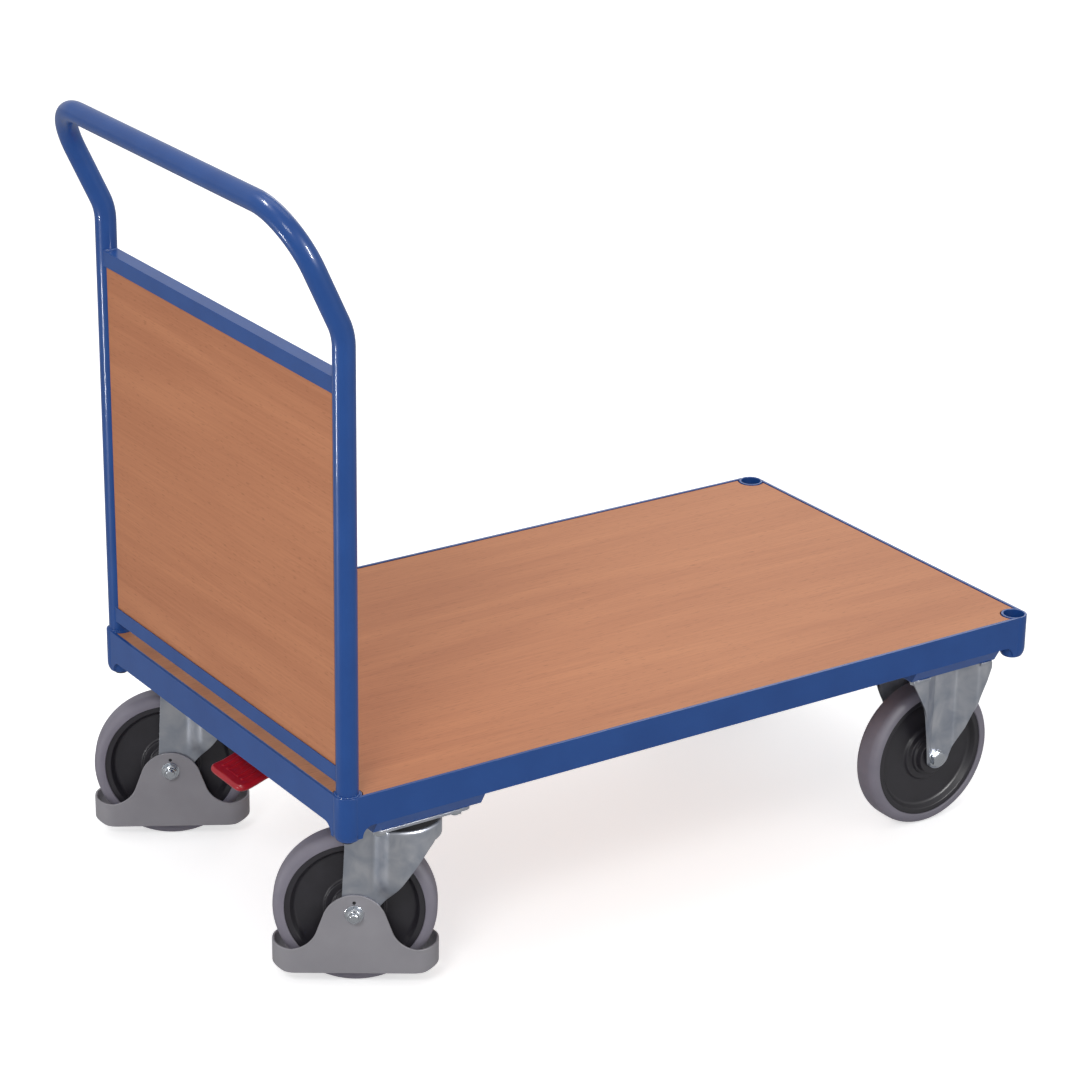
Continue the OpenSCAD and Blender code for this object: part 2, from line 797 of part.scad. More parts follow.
// Side view of a foot guard: a low rim that rises at both ends and sweeps up to the axle
module guard_outline() {
    half_body = [[0, guard_low], [guard_half - guard_tip_u, guard_low],
                 [guard_half, guard_low + guard_tip_z], [guard_half, guard_end_z],
                 [guard_flare_u, guard_side_z], [guard_flare_u, guard_top_z], [0, guard_top_z]];
    translate([0, guard_top_z]) circle(guard_top_r);
    for (m = [0, 1]) mirror([m, 0]) difference() {
        polygon(half_body);
        translate([guard_flare_u, guard_side_z + guard_flare_r]) circle(guard_flare_r);
    }
}

module foot_guard() {
    color("darkgray") translate([-trail, 0, 0]) difference() {
        intersection() {
            translate([0, far / 2, 0]) rotate([90, 0, 0]) linear_extrude(far) guard_outline();
            difference() {
                rounded_plate(guard_l, 2 * guard_out, guard_corner_r, far);
                translate([0, 0, -eps]) rounded_plate(guard_l - 2 * guard_t, 2 * leg_out,
                                                      guard_corner_r - guard_t, far + 1);
            }
        }
        translate([0, far / 2, wheel_r]) rotate([90, 0, 0]) cylinder(r = m10_r + run_fit, h = far);
        translate([0, 0, guard_eye_z]) rotate([90, 0, 0]) cylinder(r = guard_eye_r, h = far);
    }
}

// Brake -------------------------------------------------------------------------------------------

// Rod down the hollow kingpin with a shoe that follows the tyre's curve
module brake_plunger() {
    color("silver") difference() {
        union() {
            translate([0, 0, shoe_top - eps]) cylinder(r = plunger_r, h = plunger_top - shoe_top + eps);
            translate([-shoe_half, -shoe_w / 2, wheel_r]) cube([2 * shoe_half, shoe_w, shoe_top - wheel_r]);
        }
        at_axle(trail) rotate([90, 0, 0]) translate([0, 0, -shoe_w]) cylinder(r = shoe_r, h = 2 * shoe_w);
    }
}

// Cylinder along y round the brake shaft, centred at y
module on_shaft(r, w, y) {
    translate([shaft_x, y + w / 2, shaft_z]) rotate([90, 0, 0]) cylinder(r = r, h = w);
}

module brake_shaft() {
    color("gray") placed() on_shaft(shaft_r, 2 * (caster_y + shaft_end), 0);
}

// A finger over each kingpin, pinned to the shaft
module brake_cams() {
    color("gray") placed() for (side = [-1, 1]) difference() {
        union() {
            on_shaft(cam_r, cam_w, side * caster_y);
            translate([-cam_reach, 0, 0]) on_shaft(cam_tip_r, cam_w, side * caster_y);
            translate([shaft_x - cam_reach, side * caster_y - cam_w / 2, shaft_z - cam_tip_r])
                cube([cam_reach, cam_w, 2 * cam_tip_r]);
        }
        on_shaft(shaft_r, cam_w + 1, side * caster_y);
    }
}

module shaft_brackets() {
    floor_z = caster_h + cross_t;
    color("royalblue") placed() for (side = [-1, 1], y = bracket_y) difference() {
        union() {
            translate([shaft_x - bracket_w / 2, side * y - bracket_t / 2, floor_z])
                cube([bracket_w, bracket_t, shaft_z - floor_z]);
            on_shaft(cam_r, bracket_t, side * y);
        }
        on_shaft(shaft_r + run_fit, bracket_t + 1, side * y);
    }
}

// Centre line of the pedal's arm from the shaft, as [x, z] points relative to the shaft
arm_elbow = [-28, caster_h - shaft_z - 13];
arm_front = [pedal_rear + pedal_l + 6 - shaft_x, pedal_z + pedal_l * sin(pedal_slope) - shaft_z + 1];
arm_rear = [pedal_rear + 20 - shaft_x, pedal_z + 20 * sin(pedal_slope) - shaft_z];
arm_slot_rear = shaft_x + arm_elbow.x - arm_t;
arm_slot_front = shaft_x + slot_gap;

// A flat bar of thickness t between two [x, z] points with round ends
module bar_between(a, b, t) {
    l = norm(b - a);
    translate([a.x, a.y]) rotate(atan2(b.y - a.y, b.x - a.x)) translate([0, -t / 2]) square([l, t]);
    for (p = [a, b]) translate([p.x, p.y]) circle(t / 2 + 0.3);
}

module pedal_arm() {
    color("gray") placed() difference() {
        translate([shaft_x, arm_w / 2, shaft_z]) rotate([90, 0, 0]) linear_extrude(arm_w) {
            circle(cam_r);
            bar_between([0, 0], arm_elbow, arm_t);
            bar_between(arm_elbow, arm_front, arm_t);
            bar_between(arm_front, arm_rear, arm_t / 2);
        }
        on_shaft(shaft_r, arm_w + 1, 0);
    }
}

// Moulded pedal over the arm's end, thick and round at the rear
module brake_pedal() {
    rise = pedal_l * sin(pedal_slope);
    color("firebrick") placed() difference() {
        translate([pedal_rear, pedal_w / 2, pedal_z]) rotate([90, 0, 0]) linear_extrude(pedal_w) {
            translate([pedal_t / 2, 0]) circle(pedal_t / 2);
            polygon([[pedal_t / 2, -pedal_t / 2], [pedal_t * 1.6, -pedal_t / 2],
                     [pedal_l * 0.55, rise * 0.4 - pedal_t / 2], [pedal_l, rise - pedal_t / 2],
                     [pedal_l, rise + pedal_t / 2], [pedal_t / 2, pedal_t / 2]]);
        }
        translate([shaft_x, arm_w / 2, shaft_z]) rotate([90, 0, 0]) linear_extrude(arm_w) {
            bar_between(arm_elbow, arm_front, arm_t);
            bar_between(arm_front, arm_rear, arm_t / 2);
        }
    }
}

// Nodes -------------------------------------------------------------------------------------------

side_rail(1);  // side_rail_left
side_rail(-1);  // side_rail_right
end_rail(1);  // front_rail
end_rail(-1);  // rear_rail
front_socket(1);  // front_socket_left
front_socket(-1);  // front_socket_right
rear_socket(1);  // rear_socket_left
rear_socket(-1);  // rear_socket_right
front_cross_member();
rear_cross_member();
deck_board();
board_screws();
handle_tube();
handle_screws();
panel_top_rail();
panel_bottom_rail();
end_panel();
at_fixed(1) fixed_fork();  // fixed_fork_left
at_fixed(-1) fixed_fork();  // fixed_fork_right
at_both_fixed() at_axle(0) axle_sleeve();  // fixed_axle_sleeves
at_both_fixed() at_axle(0) mirror([0, 1, 0]) axle_bolt(leg_out);  // fixed_axle_bolts
at_both_fixed() at_axle(0) mirror([0, 1, 0]) axle_nut(leg_out);  // fixed_axle_nuts
at_swivel_plate(1) swivel_plate();  // swivel_plate_left
at_swivel_plate(-1) swivel_plate();  // swivel_plate_right
at_swivel_plate(1) kingpin();  // kingpin_left
at_swivel_plate(-1) kingpin();  // kingpin_right
caster_plate_bolts();
caster_plate_nuts();
shaft_brackets();
at_fixed(1) at_axle(0) rim();  // front_left_rim
at_fixed(1) at_axle(0) tyre();  // front_left_tyre
at_fixed(1) at_axle(0) hub_bearing();  // front_left_bearing
at_fixed(-1) at_axle(0) rim();  // front_right_rim
at_fixed(-1) at_axle(0) tyre();  // front_right_tyre
at_fixed(-1) at_axle(0) hub_bearing();  // front_right_bearing
at_swivel(1) at_axle(trail) rim();  // rear_left_rim
at_swivel(1) at_axle(trail) tyre();  // rear_left_tyre
at_swivel(1) at_axle(trail) hub_bearing();  // rear_left_bearing
at_swivel(-1) at_axle(trail) rim();  // rear_right_rim
at_swivel(-1) at_axle(trail) tyre();  // rear_right_tyre
at_swivel(-1) at_axle(trail) hub_bearing();  // rear_right_bearing
at_swivel(1) swivel_fork();  // swivel_fork_left
at_swivel(1) at_axle(trail) axle_sleeve();  // axle_sleeve_left
at_swivel(1) at_axle(trail) axle_bolt(guard_out);  // axle_bolt_left
at_swivel(1) at_axle(trail) axle_nut(guard_out);  // axle_nut_left
at_swivel(1) foot_guard();  // foot_guard_left
at_swivel(1) swivel_balls();  // swivel_balls_left
at_swivel(1) brake_plunger();  // brake_plunger_left
at_swivel(-1) swivel_fork();  // swivel_fork_right
at_swivel(-1) at_axle(trail) axle_sleeve();  // axle_sleeve_right
at_swivel(-1) at_axle(trail) axle_bolt(guard_out);  // axle_bolt_right
at_swivel(-1) at_axle(trail) axle_nut(guard_out);  // axle_nut_right
at_swivel(-1) foot_guard();  // foot_guard_right
at_swivel(-1) swivel_balls();  // swivel_balls_right
at_swivel(-1) brake_plunger();  // brake_plunger_right
brake_shaft();
brake_cams();
pedal_arm();
brake_pedal();
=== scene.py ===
import json
from math import radians

import bmesh
import bpy
import numpy as np
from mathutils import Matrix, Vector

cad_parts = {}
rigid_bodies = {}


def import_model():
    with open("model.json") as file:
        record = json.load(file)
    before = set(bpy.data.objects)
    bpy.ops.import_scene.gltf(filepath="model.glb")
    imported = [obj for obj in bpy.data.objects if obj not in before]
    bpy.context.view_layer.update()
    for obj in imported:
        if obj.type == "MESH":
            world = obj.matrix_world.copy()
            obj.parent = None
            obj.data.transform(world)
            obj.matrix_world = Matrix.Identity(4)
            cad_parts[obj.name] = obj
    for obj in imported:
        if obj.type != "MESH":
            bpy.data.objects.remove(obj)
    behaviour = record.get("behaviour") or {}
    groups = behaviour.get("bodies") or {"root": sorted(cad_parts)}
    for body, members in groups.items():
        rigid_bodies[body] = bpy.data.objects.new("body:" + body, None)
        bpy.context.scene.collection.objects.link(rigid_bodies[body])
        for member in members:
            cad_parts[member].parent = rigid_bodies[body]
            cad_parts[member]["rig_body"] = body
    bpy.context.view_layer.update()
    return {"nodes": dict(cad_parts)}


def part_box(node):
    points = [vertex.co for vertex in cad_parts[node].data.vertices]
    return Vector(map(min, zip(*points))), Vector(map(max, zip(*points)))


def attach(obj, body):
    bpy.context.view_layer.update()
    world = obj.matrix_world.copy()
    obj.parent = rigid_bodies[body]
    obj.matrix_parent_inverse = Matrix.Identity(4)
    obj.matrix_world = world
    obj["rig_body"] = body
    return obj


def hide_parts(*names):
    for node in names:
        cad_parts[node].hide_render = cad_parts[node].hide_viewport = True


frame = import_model()

# Camera: a long lens behind the handle and to the trolley's right, looking down on the deck from about
# four and a half metres.
camera = bpy.data.objects.new("camera", bpy.data.cameras.new("camera"))
camera.data.lens, camera.data.sensor_width = 114.25, 36
camera.location = (-2.3003, -3.4054, 2.0521)
camera.rotation_euler = (radians(68.2025), radians(-0.7794), radians(-33.6150))
bpy.context.scene.collection.objects.link(camera)
bpy.context.scene.camera = camera
bpy.context.scene.view_settings.view_transform = "Standard"


def linear(colour):
    """An sRGB hex colour as linear RGBA: c / 12.92 below 0.04045, ((c + 0.055) / 1.055) ^ 2.4 above."""
    c = np.array([int(colour[i : i + 2], 16) for i in (1, 3, 5)]) / 255
    return (*np.where(c <= 0.04045, c / 12.92, ((c + 0.055) / 1.055) ** 2.4).tolist(), 1.0)


def add(tree, kind, inputs=None, **settings):
    """One shader node with its settings; an input is either another node's socket or a plain value."""
    n = tree.nodes.new(kind)
    for name, value in settings.items():
        setattr(n, name, value)
    for name, value in (inputs or {}).items():
        if isinstance(value, bpy.types.NodeSocket):
            tree.links.new(value, n.inputs[name])
        else:
            n.inputs[name].default_value = value
    return n


# Stage: a plain white floor with a soft contact shadow, in an even white room. Camera rays see both as
# white and glossy rays as light grey; the light on the trolley comes from the room and from three soft
# boxes. Three strips light nothing by themselves and only shine in glossy surfaces, as on the handle.
def brightness(tree, lit, shown, mirrored):
    """A strength of shown for camera and transmission rays, mirrored for glossy rays, lit for the rest."""
    path = add(tree, "ShaderNodeLightPath").outputs
    seen = add(tree, "ShaderNodeMath", {0: path["Is Camera Ray"], 1: path["Is Transmission Ray"]},
               operation="MAXIMUM")
    base = add(tree, "ShaderNodeMath", {0: seen.outputs[0], 1: shown - lit, 2: lit}, operation="MULTIPLY_ADD")
    return add(tree, "ShaderNodeMath", {0: path["Is Glossy Ray"], 1: mirrored - lit, 2: base.outputs[0]},
               operation="MULTIPLY_ADD").outputs[0]


room = bpy.data.worlds.new("white room")
room.use_nodes = True
bpy.context.scene.world = room
background = room.node_tree.nodes["Background"]
background.inputs["Color"].default_value = (1, 1, 1, 1)
room_strength = brightness(room.node_tree, lit=0.56, shown=1.0, mirrored=0.72)
room.node_tree.links.new(room_strength, background.inputs["Strength"])

floor_half = 20
floor_mesh = bpy.data.meshes.new("floor")
floor_mesh.from_pydata([(-floor_half, -floor_half, 0), (floor_half, -floor_half, 0),
                        (floor_half, floor_half, 0), (-floor_half, floor_half, 0)], [], [(0, 1, 2, 3)])
floor = bpy.data.objects.new("floor", floor_mesh)
bpy.context.scene.collection.objects.link(floor)
paper = bpy.data.materials.new("white floor paper")
paper.use_nodes = True
paper_surface = paper.node_tree.nodes["Principled BSDF"]
paper_surface.inputs["Base Color"].default_value = linear("#f0f0f0")
paper_surface.inputs["Roughness"].default_value = 1.0
paper_surface.inputs["Specular IOR Level"].default_value = 0.0
paper_surface.inputs["Emission Color"].default_value = (1, 1, 1, 1)
paper_glow = brightness(paper.node_tree, lit=0.0, shown=0.6, mirrored=0.0)
paper.node_tree.links.new(paper_glow, paper_surface.inputs["Emission Strength"])
floor_mirrored = 0.42
mirrored = add(paper.node_tree, "ShaderNodeEmission", {"Color": (1, 1, 1, 1), "Strength": floor_mirrored})
sheet = add(paper.node_tree, "ShaderNodeMixShader",
            {0: add(paper.node_tree, "ShaderNodeLightPath").outputs["Is Glossy Ray"],
             1: paper_surface.outputs[0], 2: mirrored.outputs[0]})
paper.node_tree.links.new(sheet.outputs[0], paper.node_tree.nodes["Material Output"].inputs["Surface"])
floor_mesh.materials.append(paper)

for name, place, aim, size, power in (
    ("key box", (-2.9, -2.3, 3.0), (-0.1, 0.0, 0.5), (1.3, 0.8), 46),
    ("top box", (0.5, 0.4, 3.6), (0.1, 0.0, 0.3), (2.4, 1.6), 18),
    ("far box", (2.6, 2.4, 2.2), (0.0, 0.0, 0.4), (1.6, 1.6), 14),
    ("right strip", (0.45, -2.95, 1.75), (-0.52, -0.31, 0.95), (0.42, 1.1), 150),
    ("low strip", (-2.1, 0.38, 0.14), (-0.54, -0.29, 0.97), (0.16, 0.24), 10),
    ("high strip", (-1.7, 0.67, 3.62), (-0.55, -0.26, 1.0), (0.7, 0.5), 75),
):
    box = bpy.data.objects.new(name, bpy.data.lights.new(name, "AREA"))
    box.data.shape, box.data.energy = "RECTANGLE", power
    box.data.size, box.data.size_y = size
    box.location = place
    direction = np.array(aim) - np.array(place)
    flat = np.hypot(direction[0], direction[1])
    tilt, heading = np.arctan2(flat, -direction[2]), np.arctan2(direction[1], direction[0]) - np.pi / 2
    box.rotation_euler = (tilt, 0, heading)
    box.visible_camera, box.visible_diffuse = False, "box" in name
    bpy.context.scene.collection.objects.link(box)


# Blue powder coat on welded steel: polyester powder, sprayed and baked. Smooth and glossy, with the
# faint orange peel that bends its highlights.
def finish(name, slot, colour, roughness, **more):
    """A Principled material for one slot of the record, and its node tree; more holds settings of the
    shader's own sockets."""
    m = bpy.data.materials.new(name)
    m["slot"] = slot
    m.use_nodes = True
    surface = m.node_tree.nodes["Principled BSDF"]
    surface.inputs["Base Color"].default_value = linear(colour)
    surface.inputs["Roughness"].default_value = roughness
    for socket, value in more.items():
        surface.inputs[socket.replace("_", " ")].default_value = value
    return m, m.node_tree, surface


def pattern(tree, size_mm, stretch=(1, 1, 1), detail=2.0, **more):
    """Noise with features of about size_mm, longer along an axis by its stretch."""
    place = add(tree, "ShaderNodeTexCoord").outputs["Object"]
    mapped = add(tree, "ShaderNodeMapping", {"Vector": place, "Scale": [1 / s for s in stretch]})
    return add(tree, "ShaderNodeTexNoise", {"Vector": mapped.outputs[0], "Scale": 1000 / size_mm,
                                            "Detail": detail, **more}).outputs["Fac"]


def grained(tree, surface, size_mm, depth_mm, stretch=(1, 1, 1), detail=2.0):
    """Relief of the given size and depth on a surface."""
    bump = add(tree, "ShaderNodeBump", {"Height": pattern(tree, size_mm, stretch, detail),
                                        "Distance": depth_mm / 1000, "Strength": 1.0})
    tree.links.new(bump.outputs[0], surface.inputs["Normal"])


def toned(tree, surface, factor, low, high, start=0.3, end=0.7):
    """Base colour between two hex colours as the factor goes from start to end."""
    ramp = add(tree, "ShaderNodeValToRGB", {"Fac": factor})
    ramp.color_ramp.elements[0].position, ramp.color_ramp.elements[1].position = start, end
    ramp.color_ramp.elements[0].color, ramp.color_ramp.elements[1].color = linear(low), linear(high)
    tree.links.new(ramp.outputs[0], surface.inputs["Base Color"])


powder_coat, tree, surface = finish("blue powder coat", "blue_powder_coat", "#224f96", 0.35,
                                    Specular_IOR_Level=0.2, Coat_Weight=0.28, Coat_Roughness=0.05)
toned(tree, surface, pattern(tree, 60, detail=3), "#204c92", "#24529a")
grained(tree, surface, 5.0, 0.006)


def woven(rows, columns, wrap_rows=False, wrap_columns=False):
    """Quads joining each point of a grid to the next row and column; a wrapped way closes on itself."""
    r, c = np.meshgrid(np.arange(rows if wrap_rows else rows - 1),
                       np.arange(columns if wrap_columns else columns - 1), indexing="ij")
    r2, c2 = (r + 1) % rows, (c + 1) % columns
    corners = [r * columns + c, r * columns + c2, r2 * columns + c2, r2 * columns + c]
    return np.stack(corners, -1).reshape(-1, 4)


def merged(name, points, faces, apart_mm):
    """A bmesh from points in millimetres: those closer than apart_mm become one, and slivers go."""
    mesh = bpy.data.meshes.new(name)
    metres = np.asarray(points, float).reshape(-1, 3) / 1000
    mesh.from_pydata(metres.tolist(), [], np.asarray(faces).tolist())
    bm = bmesh.new()
    bm.from_mesh(mesh)
    bmesh.ops.remove_doubles(bm, verts=bm.verts, dist=apart_mm / 1000)
    bmesh.ops.dissolve_degenerate(bm, dist=1e-6, edges=bm.edges)
    return bm


def piece(name, points, faces, material, body, *nodes, crease=35):
    """A closed mesh piece from points in millimetres, facing outwards and riding on its body."""
    bm = merged(name, points, faces, 0.002)
    bmesh.ops.recalc_face_normals(bm, faces=bm.faces)
    return dressed(name, bm, material, body, nodes, crease)


def dressed(name, bm, material, body, nodes, crease):
    """The finished object of a bmesh: smooth shading with edges sharper than crease degrees kept."""
    mesh = bpy.data.meshes.new(name)
    bm.to_mesh(mesh)
    bm.free()
    mesh.polygons.foreach_set("use_smooth", np.ones(len(mesh.polygons), bool))
    mesh.set_sharp_from_angle(angle=radians(crease))
    mesh.materials.append(material)
    made = bpy.data.objects.new(name, mesh)
    bpy.context.scene.collection.objects.link(made)
    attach(made, body)
    if nodes:
        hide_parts(*nodes)
    return made


def softened(node, round_mm, material, steps=3, angle=28, above_mm=None):
    """A CAD solid's own shape with its edges rounded: triangles merged into flat faces, then bevelled. With
    above_mm, only what stands above that height is kept, and closed."""
    source = frame["nodes"][node]
    bm = bmesh.new()
    bm.from_mesh(source.data)
    bmesh.ops.remove_doubles(bm, verts=bm.verts, dist=2e-6)
    if above_mm:
        below = [f for f in bm.faces if min(v.co.z for v in f.verts) < above_mm / 1000]
        bmesh.ops.delete(bm, geom=below, context="FACES")
        bmesh.ops.holes_fill(bm, edges=[e for e in bm.edges if e.is_boundary])
        bmesh.ops.recalc_face_normals(bm, faces=bm.faces)
    bmesh.ops.dissolve_limit(bm, angle_limit=radians(0.5), verts=bm.verts, edges=bm.edges)
    made = dressed(node + "_finished", bm, material, source["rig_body"], (node,), 40)
    bevel = made.modifiers.new("rounded edges", "BEVEL")
    bevel.width, bevel.segments, bevel.limit_method = round_mm / 1000, steps, "ANGLE"
    bevel.angle_limit, bevel.harden_normals = radians(angle), True
    return made


# Deck frame: four flat steel rails with an inner ledge each, welded to a round socket at every corner
# and powder coated as one piece with the handle's rails.
for rail in ("side_rail_left", "side_rail_right", "front_rail", "rear_rail"):
    softened(rail, 1.1, powder_coat)


def turned(profile, steps=96):
    """Rings of a closed profile of (radius, height) turned about the z axis."""
    turn = np.linspace(0, 2 * np.pi, steps, endpoint=False)[:, None]
    r, h = np.asarray(profile, float).T
    return np.stack([r * np.cos(turn), r * np.sin(turn), h + 0 * turn], -1), woven(steps, len(r), True, True)


def arc(centre, radius, start, end, steps=10):
    """Points of an arc in a plane, from start to end degrees."""
    a = np.radians(np.linspace(start, end, steps))
    return np.stack([centre[0] + radius * np.cos(a), centre[1] + radius * np.sin(a)], 1)


def middle(node):
    """The middle of a CAD node's box, in millimetres."""
    low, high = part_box(node)
    return (np.array(low) + np.array(high)) * 500


socket_top, socket_low, socket_out, socket_bore, floor_top = 294.0, 235.0, 17.0, 13.7, 246.0
round_wide, round_high, lip = 6.5, 13.0, 0.8
quarter = np.radians(np.linspace(0, 90, 12))
round_edge = np.stack([socket_out - round_wide * (1 - np.sin(quarter)),
                       socket_low + round_high * (1 - np.cos(quarter))], 1)
for end in ("front", "rear"):
    for side in ("left", "right"):
        node = f"{end}_socket_{side}"
        profile = np.concatenate([[(0.0, socket_low)], round_edge,
                                  arc((socket_out - lip, socket_top - lip), lip, 0, 90, 5),
                                  arc((socket_bore + lip, socket_top - lip), lip, 90, 180, 5),
                                  [(socket_bore, floor_top), (0.0, floor_top - 1)]])
        points, faces = turned(profile)
        piece(node + "_finished", points + middle(node) * (1, 1, 0), faces, powder_coat, "frame", node)

# Weld beads: a ring of ripples where each handle post leaves its socket.
weld_r = 13.9
for side in ("left", "right"):
    turn = np.linspace(0, 2 * np.pi, 240, endpoint=False)[:, None]
    across = np.linspace(0, 2 * np.pi, 12, endpoint=False)[None, :]
    bead = 1.5 + 0.25 * np.sin(34 * turn) * np.cos(3 * turn + 0.6)
    ring, height = weld_r + bead * np.cos(across), socket_top + 0.2 + bead * np.sin(across)
    points = np.stack([ring * np.cos(turn), ring * np.sin(turn), height], -1)
    piece("post_weld_" + side, points + middle(f"rear_socket_{side}") * (1, 1, 0), woven(240, 12, True, True),
          powder_coat, "frame")

# Cross members: pressed steel trays across the frame, whose sloped ends meet the side rails.
for tray in ("front_cross_member", "rear_cross_member"):
    softened(tray, 1.8, powder_coat)
softened("shaft_brackets", 0.5, powder_coat)


# Deck board and end panel: beech veneer on chipboard, sanded and clear lacquered. Fine long grain with
# short darker flecks, and slow changes of tone from leaf to leaf.
def beech(name, slot, along, light, dark, fleck):
    """Lacquered beech, its grain along x (0) or y (1): fine lines, broad figure and short darker flecks."""
    m, tree, surface = finish(name, slot, light, 0.5, Specular_IOR_Level=0.22)
    stretch = [lambda n, a=a: n if a == along else 1.0 for a in range(3)]
    lines = pattern(tree, 2.4, [s(70.0) for s in stretch], 4.0, Roughness=0.65)
    figure = pattern(tree, 70, [s(9.0) for s in stretch], 3.0, Distortion=1.2)
    tone = add(tree, "ShaderNodeMix", {"Factor": 0.5, "A": lines, "B": figure})
    ramp = add(tree, "ShaderNodeValToRGB", {"Fac": tone.outputs["Result"]})
    ramp.color_ramp.elements[0].position, ramp.color_ramp.elements[1].position = 0.36, 0.64
    ramp.color_ramp.elements[0].color, ramp.color_ramp.elements[1].color = linear(dark), linear(light)
    flecks = pattern(tree, 1.5, [s(8.0) for s in stretch], 0.0)
    spots = add(tree, "ShaderNodeMapRange",
                {"Value": flecks, "From Min": 0.68, "From Max": 0.8, "To Max": 0.45})
    shade = add(tree, "ShaderNodeMix",
                {0: spots.outputs["Result"], 6: ramp.outputs["Color"], 7: linear(fleck)}, data_type="RGBA")
    tree.links.new(shade.outputs[2], surface.inputs["Base Color"])
    grained(tree, surface, 2.4, 0.015, [s(70.0) for s in stretch])
    return m


deck_beech = beech("lacquered beech deck", "deck_wood", 0, "#d28e64", "#c07d57", "#a56845")
# The end panel takes the deck's beech a little darker: painted shade on its upright face.
shaded_panel_beech = beech("lacquered beech panel, painted shade", "panel_wood", 1, "#cd8961", "#bd7a55", "#a46645")
softened("deck_board", 0.5, deck_beech)
softened("end_panel", 0.5, shaded_panel_beech)

# Handle: one 26.9 mm steel tube with a lean-back bend over each post and two corners at the grip, its
# feet plugged and screwed into the rear sockets. Bent cold, then powder coated.
tube_r, tube_foot, kink_z, lean, kink_r, grip_z, grip_r = 13.45, 245.0, 857.0, radians(25), 70.0, 1001.5, 72.0


def handle_line():
    """Centre line from the left foot over the grip to the right foot, the leaning plane's normal, and the
    direction of travel, in closed form: post, bend, lean, corner and half the grip, then mirrored."""
    post = middle("rear_socket_left")
    reach = post[1] - middle("deck_board")[1]
    bend, slope = kink_r * np.tan(lean / 2), (grip_z - kink_z) / np.cos(lean)
    start = kink_z - bend
    a = np.linspace(0, lean, 14)[1:]
    b = np.linspace(0, np.pi / 2, 28)
    straight = np.array([tube_foot, 500.0, start])
    post_part = np.stack([0 * straight, 0 * straight + reach, straight], 1)
    kink_part = np.stack([-kink_r * (1 - np.cos(a)), 0 * a + reach, start + kink_r * np.sin(a)], 1)
    up = slope - grip_r + grip_r * np.sin(b)
    side = reach - grip_r + grip_r * np.cos(b)
    corner = np.stack([-up * np.sin(lean), side, kink_z + up * np.cos(lean)], 1)
    half = np.concatenate([post_part, kink_part, corner])
    leaning = np.concatenate([0 * straight, a, 0 * b + lean])
    normal = np.stack([np.cos(leaning), 0 * leaning, np.sin(leaning)], 1)
    turn = np.concatenate([0 * straight, 0 * a, b])
    along = np.stack([-np.sin(leaning) * np.cos(turn), -np.sin(turn), np.cos(leaning) * np.cos(turn)], 1)
    back = half[::-1] * (1, -1, 1)
    line = np.concatenate([half, back]) + (post[0], middle("deck_board")[1], 0)
    return line, np.concatenate([normal, normal[::-1]]), np.concatenate([along, along[::-1] * (-1, 1, -1)])


line, normal, along = handle_line()
across = np.cross(along, normal)
turn = np.linspace(0, 2 * np.pi, 56, endpoint=False)[None, :, None]
skin = line[:, None] + tube_r * (np.cos(turn) * normal[:, None] + np.sin(turn) * across[:, None])
ends = line[[0, -1]][:, None] + 0 * turn * skin[:1]
skin = np.concatenate([ends[:1], skin, ends[1:]])
piece("handle_tube_bent", skin, woven(len(skin), 56, False, True), powder_coat, "frame", "handle_tube")

# Panel rails: square steel channels between the posts that hold the end panel's edges.
for rail in ("panel_top_rail", "panel_bottom_rail"):
    softened(rail, 0.9, powder_coat)

# Rail welds: a short bead on each side of every rail's end, where it meets its post.
for node in ("panel_top_rail", "panel_bottom_rail"):
    low, high = (np.array(corner) * 1000 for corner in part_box(node))
    for side, way in (("left", -1), ("right", 1)):
        post = middle(f"rear_socket_{side}")
        for place, z in (("upper", high[2]), ("lower", low[2])):
            turn = np.radians(np.linspace(-46, 46, 40))[:, None]
            across = np.linspace(0, 2 * np.pi, 12, endpoint=False)[None, :]
            bead = (1.7 + 0.22 * np.sin(30 * turn)) * np.sqrt(np.clip(1.02 - (turn / turn[-1]) ** 2, 0, 1))
            ring = weld_r + bead * np.cos(across)
            points = np.stack([ring * np.sin(turn), way * ring * np.cos(turn), z + bead * np.sin(across)], -1)
            piece(f"{place}_bead_{node}_{side}", points + post * (1, 1, 0), woven(40, 12, False, True),
                  powder_coat, "frame")

# Foot screws: black socket screws that pull the handle's plugs down into the rear sockets.
black_oxide, tree, surface = finish("black oxide screw", "black_screws", "#1d1d20", 0.35, Metallic=0.7)
grained(tree, surface, 1.5, 0.01)
for side in ("left", "right"):
    points, faces = turned([(0.01, 231.4), (5.5, 231.4), (7.6, 232.0), (8.9, 233.2), (9.5, 234.9),
                            (9.2, 235.3), (0.01, 235.3)])
    piece("foot_screw_" + side, points + middle(f"rear_socket_{side}") * (1, 1, 0), faces, black_oxide,
          "frame", "handle_screws")

# Wheels: grey non-marking thermoplastic rubber moulded on a dark polypropylene rim, with a black
# bearing bush in the hub. The tyre is matt with a soft bloom, the rim has a fine moulded grain.
rubber, tree, surface = finish("grey thermoplastic rubber", "tyre_grey", "#827e8b", 0.62)
toned(tree, surface, pattern(tree, 40, detail=4), "#7d7986", "#888491")
grained(tree, surface, 1.2, 0.03, detail=3)
rim_plastic, tree, surface = finish("dark polypropylene", "rim_plastic", "#2a282e", 0.42)
toned(tree, surface, pattern(tree, 30, detail=3), "#26242a", "#2c2a31")
grained(tree, surface, 0.9, 0.015, detail=2)
bush_plastic, tree, surface = finish("black bearing bush", "bearing_plastic", "#17171a", 0.4)
grained(tree, surface, 1.0, 0.01)

wheel_r, tyre_half, shoulder, rim_r, hub_half, hub_bore = 100.0, 19.0, 11.0, 85.5, 26.2, 11.0


